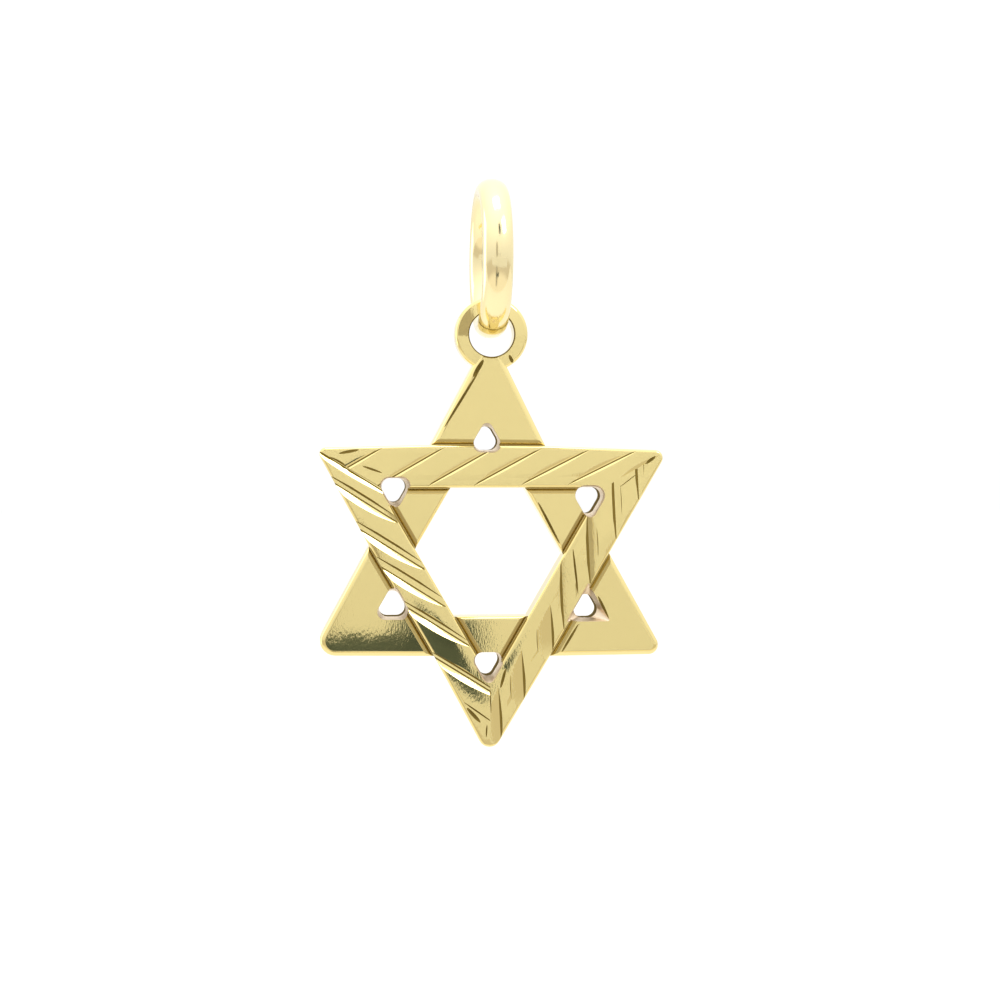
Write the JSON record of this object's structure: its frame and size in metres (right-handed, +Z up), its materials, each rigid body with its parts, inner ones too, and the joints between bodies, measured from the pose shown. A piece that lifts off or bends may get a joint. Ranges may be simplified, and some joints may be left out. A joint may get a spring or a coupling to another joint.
{
  "type": "star of david pendant",
  "caption": "Gold pendant: a pierced six-pointed star with one fluted triangle over a smooth one, hanging by its cast eye in a closed bail ring.",
  "frame": {"origin": "where the pendant hangs: the inside top of the bail ring, on which a chain bears", "axes": "+Z up, +X across the star to the viewer's right, +Y from the star's front to its back"},
  "size_m": [0.0161, 0.0074, 0.0265],
  "materials": {
    "bail_gold": "polished 18 carat yellow gold wire",
    "star_gold": "cast and polished 18 carat yellow gold, lightly scratched"
  },
  "bodies": {
    "bail": {"bail_ring": "bail_gold"},
    "star": {"star": "star_gold"}
  },
  "joints": [
    {"name": "star_swing", "type": "hinge", "parent": "bail", "child": "star", "pos_m": [0, 0, -0.00612], "axis": [0, 1, 0], "range_deg": [-120, 120]}
  ]
}
